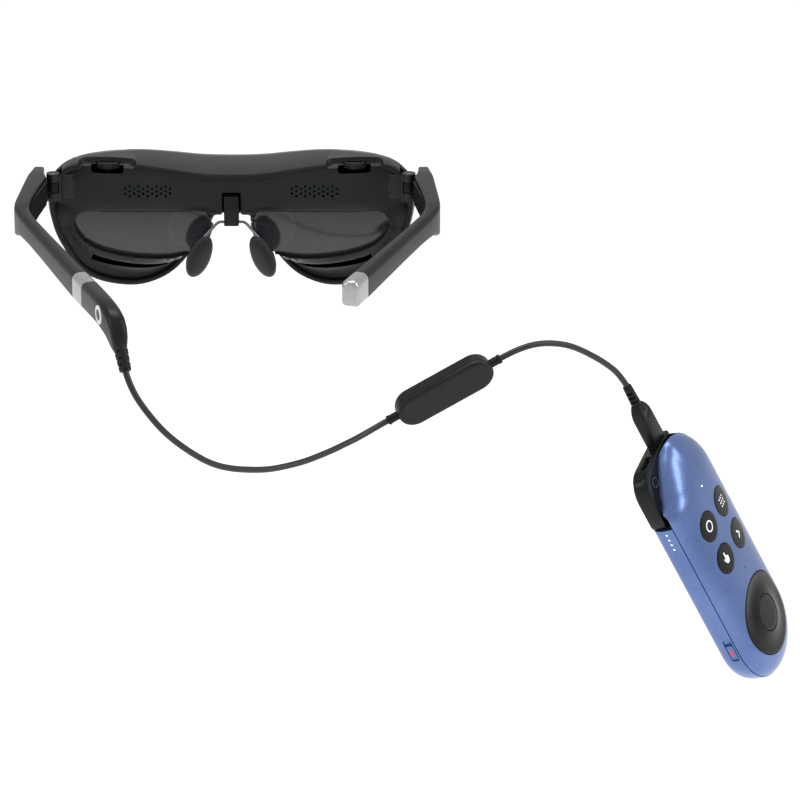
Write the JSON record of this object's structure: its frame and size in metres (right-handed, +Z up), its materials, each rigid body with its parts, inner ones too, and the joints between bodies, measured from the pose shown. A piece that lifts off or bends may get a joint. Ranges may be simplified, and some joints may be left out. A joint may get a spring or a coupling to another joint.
{
  "type": "video glasses",
  "caption": "Black wraparound video glasses with nose pads, brow dials and folding temples, joined by a cable with an inline box to a blue metallic hand control with a round pad.",
  "frame": {"origin": "midway between the centres of the two nose pads", "axes": "+X to the wearer's right, +Y the way the wearer looks, +Z up"},
  "size_m": [0.3007, 0.1992, 0.1951],
  "materials": {
    "shield": "gloss black tinted",
    "frame": "satin black",
    "cover": "fine matte black",
    "lens": "dark polished",
    "optic": "part mirrored",
    "display": "gloss black",
    "board": "green solder mask",
    "hinge_metal": "black satin",
    "pin_steel": "ground steel",
    "wire": "dark plated",
    "dial": "matte black, ribbed",
    "pad_rubber": "soft matte",
    "temple": "soft matte black",
    "tip_metal": "satin brushed",
    "boot": "satin black",
    "badge": "pale ring on black",
    "relief": "soft matte black",
    "contact": "gold plated",
    "cable": "matte black jacket",
    "inline": "fine matte black",
    "plug": "satin black",
    "plug_metal": "nickel plated",
    "body_blue": "fine metallic blue",
    "module": "gloss black",
    "cell": "foil",
    "light": "clear white",
    "key": "gloss black with white icons",
    "pad": "gloss black"
  },
  "bodies": {
    "front": {"visor_shield": "shield", "front_frame": "frame", "rear_cover": "cover", "lens_left": "lens", "lens_right": "lens", "splitter_left": "optic", "splitter_right": "optic", "display_left": "display", "display_right": "display", "main_board": "board", "hinge_lug_left": "hinge_metal", "hinge_lug_right": "hinge_metal", "hinge_pins": "pin_steel", "bridge_block": "frame", "nose_wire": "wire", "frame_screws": "pin_steel", "dial_pins": "pin_steel", "cord_one": "cable", "inline_bottom": "inline", "inline_top": "inline", "inline_board": "board", "inline_reliefs": "relief", "cord_two": "cable", "plug_relief": "relief", "plug_overmold": "plug", "plug_shell": "plug_metal", "remote_front_shell": "body_blue", "remote_back_shell": "body_blue", "port_module": "module", "usb_sockets": "plug_metal", "remote_board": "board", "battery": "cell", "led_pipes": "light", "remote_screws": "pin_steel"},
    "temple_left": {"temple_outer_left": "temple", "temple_inner_left": "cover", "speaker_left": "wire", "tip_band_left": "tip_metal", "cable_boot": "boot", "boot_badge": "badge", "boot_relief": "relief", "boot_contacts": "contact"},
    "temple_right": {"temple_outer_right": "temple", "temple_inner_right": "cover", "speaker_right": "wire", "tip_cap_right": "tip_metal"},
    "dial_l": {"dial_left": "dial"},
    "dial_r": {"dial_right": "dial"},
    "nose_l": {"nose_pad_left": "pad_rubber", "pad_plate_left": "frame"},
    "nose_r": {"nose_pad_right": "pad_rubber", "pad_plate_right": "frame"},
    "key_grid": {"button_grid": "key"},
    "key_home": {"button_home": "key"},
    "key_back": {"button_back": "key"},
    "key_pointer": {"button_pointer": "key"},
    "ring": {"pad_ring": "pad"},
    "ring_middle": {"pad_centre": "pad"},
    "switch": {"side_switch": "body_blue"},
    "key_side": {"port_key": "key"}
  },
  "joints": [
    {"name": "temple_left_fold", "type": "hinge", "parent": "front", "child": "temple_left", "pos_m": [-0.0695, 0.01, 0.0255], "axis": [0, 0, 1], "range_deg": [0, 30]},
    {"name": "temple_right_fold", "type": "hinge", "parent": "front", "child": "temple_right", "pos_m": [0.0695, 0.01, 0.0255], "axis": [0, 0, -1], "range_deg": [0, 77]},
    {"name": "dial_left_turn", "type": "hinge", "parent": "front", "child": "dial_l", "pos_m": [-0.0482, 0.0184, 0.0324], "axis": [0, 0, 1], "range_deg": [-135, 135]},
    {"name": "dial_right_turn", "type": "hinge", "parent": "front", "child": "dial_r", "pos_m": [0.0482, 0.0184, 0.0324], "axis": [0, 0, -1], "range_deg": [-135, 135]},
    {"name": "nose_left_swivel", "type": "hinge", "parent": "front", "child": "nose_l", "pos_m": [-0.0146, 0.00331, 0.00096], "axis": [0.3697, 0, 0.9291], "range_deg": [-10, 10]},
    {"name": "nose_right_swivel", "type": "hinge", "parent": "front", "child": "nose_r", "pos_m": [0.0146, 0.00331, 0.00096], "axis": [-0.3697, 0, 0.9291], "range_deg": [-10, 10]},
    {"name": "key_grid_press", "type": "slide", "parent": "front", "child": "key_grid", "axis": [-0.8319, 0.438, -0.3408], "range_m": [0, 0.0005], "stiffness_N_per_m": 1200, "springref_m": -0.0002},
    {"name": "key_home_press", "type": "slide", "parent": "front", "child": "key_home", "axis": [-0.8319, 0.438, -0.3408], "range_m": [0, 0.0005], "stiffness_N_per_m": 1200, "springref_m": -0.0002},
    {"name": "key_back_press", "type": "slide", "parent": "front", "child": "key_back", "axis": [-0.8319, 0.438, -0.3408], "range_m": [0, 0.0005], "stiffness_N_per_m": 1200, "springref_m": -0.0002},
    {"name": "key_pointer_press", "type": "slide", "parent": "front", "child": "key_pointer", "axis": [-0.8319, 0.438, -0.3408], "range_m": [0, 0.0005], "stiffness_N_per_m": 1200, "springref_m": -0.0002},
    {"name": "ring_press", "type": "slide", "parent": "front", "child": "ring", "axis": [-0.8319, 0.438, -0.3408], "range_m": [0, 0.0006], "stiffness_N_per_m": 1600, "springref_m": -0.0003},
    {"name": "ring_middle_press", "type": "slide", "parent": "front", "child": "ring_middle", "axis": [-0.8319, 0.438, -0.3408], "range_m": [0, 0.0006], "stiffness_N_per_m": 1400, "springref_m": -0.0003},
    {"name": "side_switch_slide", "type": "slide", "parent": "front", "child": "switch", "axis": [-0.438, -0.1409, 0.8879], "range_m": [0, 0.0025]},
    {"name": "port_key_press", "type": "slide", "parent": "front", "child": "key_side", "axis": [-0.8319, 0.438, -0.3408], "range_m": [0, 0.0004], "stiffness_N_per_m": 900, "springref_m": -0.0002}
  ]
}
